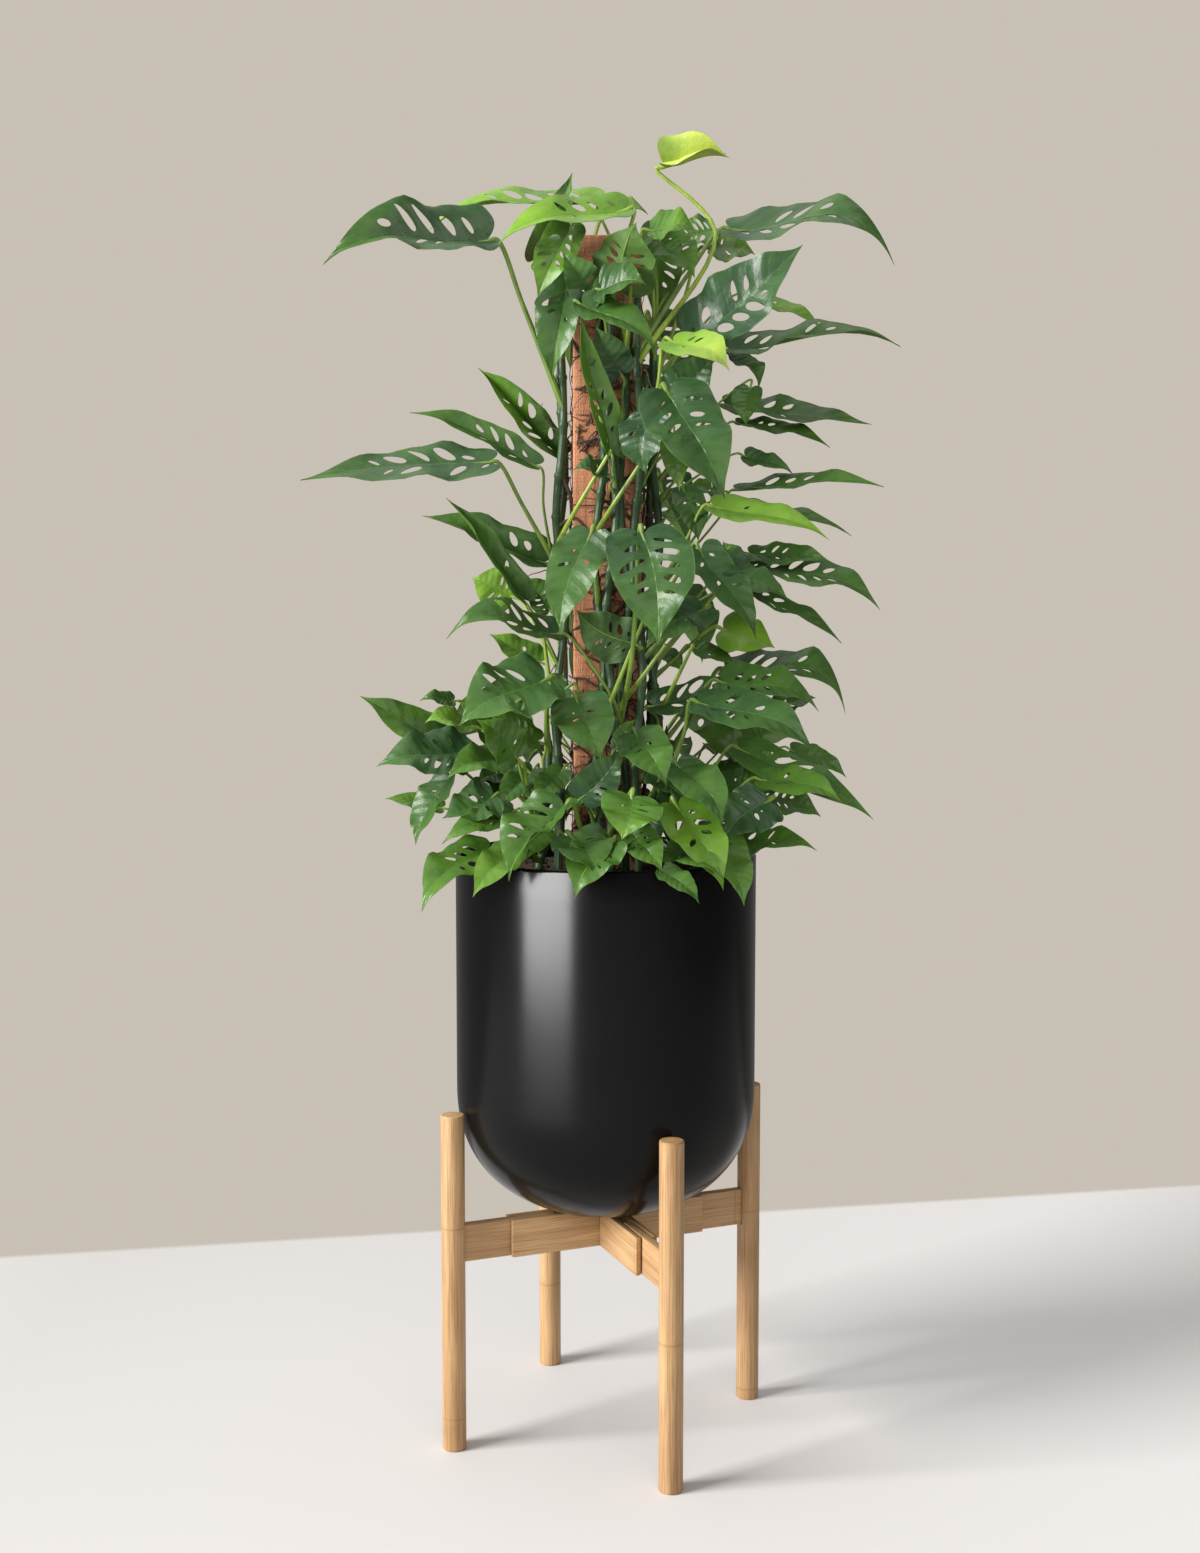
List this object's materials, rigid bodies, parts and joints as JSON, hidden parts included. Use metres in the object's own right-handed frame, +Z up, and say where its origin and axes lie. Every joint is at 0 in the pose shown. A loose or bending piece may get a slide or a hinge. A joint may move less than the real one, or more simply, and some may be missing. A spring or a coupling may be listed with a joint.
{
  "type": "potted swiss cheese vine",
  "caption": "Climbing vine with long perforated leaves on a timber post, in a round-bottomed black planter on a four-legged bamboo stand whose legs slide out to fit the pot.",
  "frame": {"origin": "on the floor under the middle of the stand and the planter", "axes": "+Z up, -Y towards the front that the picture shows, +X to its right"},
  "size_m": [0.615, 0.3777, 1.3675],
  "materials": {
    "bamboo": "satin, light tan with long grain and darker growth rings",
    "planter_black": "satin black glaze",
    "potting_soil": "matt dark brown crumb",
    "reddish_timber": "rough-sawn, matt",
    "leaf_green": "semi-gloss, dark blue-green with lighter veins and edges; the young leaves are lime green"
  },
  "bodies": {
    "stand_and_plant": {"slat_long_a": "bamboo", "slat_long_b": "bamboo", "slat_cross_a": "bamboo", "slat_cross_b": "bamboo", "planter": "planter_black", "soil": "potting_soil", "climbing_post": "reddish_timber", "vine_left_a": "leaf_green", "vine_left_b": "leaf_green", "vine_right_a": "leaf_green", "vine_right_b": "leaf_green", "vine_back_a": "leaf_green", "vine_back_b": "leaf_green", "vine_back_c": "leaf_green", "vine_front_a": "leaf_green", "vine_front_b": "leaf_green", "vine_front_c": "leaf_green", "vine_front_d": "leaf_green", "vine_low_left": "leaf_green", "vine_low_back_left": "leaf_green", "vine_low_front": "leaf_green", "vine_low_right": "leaf_green", "vine_low_back_right": "leaf_green"},
    "back_right_leg": {"leg_back_right": "bamboo", "arm_back_right": "bamboo"},
    "back_left_leg": {"leg_back_left": "bamboo", "arm_back_left": "bamboo"},
    "front_left_leg": {"leg_front_left": "bamboo", "arm_front_left": "bamboo"},
    "front_right_leg": {"leg_front_right": "bamboo", "arm_front_right": "bamboo"}
  },
  "joints": [
    {"name": "back_right_leg_slide", "type": "slide", "parent": "stand_and_plant", "child": "back_right_leg", "axis": [0.9265, 0.3762, 0], "range_m": [0, 0.025]},
    {"name": "back_left_leg_slide", "type": "slide", "parent": "stand_and_plant", "child": "back_left_leg", "axis": [-0.3762, 0.9265, 0], "range_m": [0, 0.025]},
    {"name": "front_left_leg_slide", "type": "slide", "parent": "stand_and_plant", "child": "front_left_leg", "axis": [-0.9265, -0.3762, 0], "range_m": [0, 0.025]},
    {"name": "front_right_leg_slide", "type": "slide", "parent": "stand_and_plant", "child": "front_right_leg", "axis": [0.3762, -0.9265, 0], "range_m": [0, 0.025]}
  ]
}
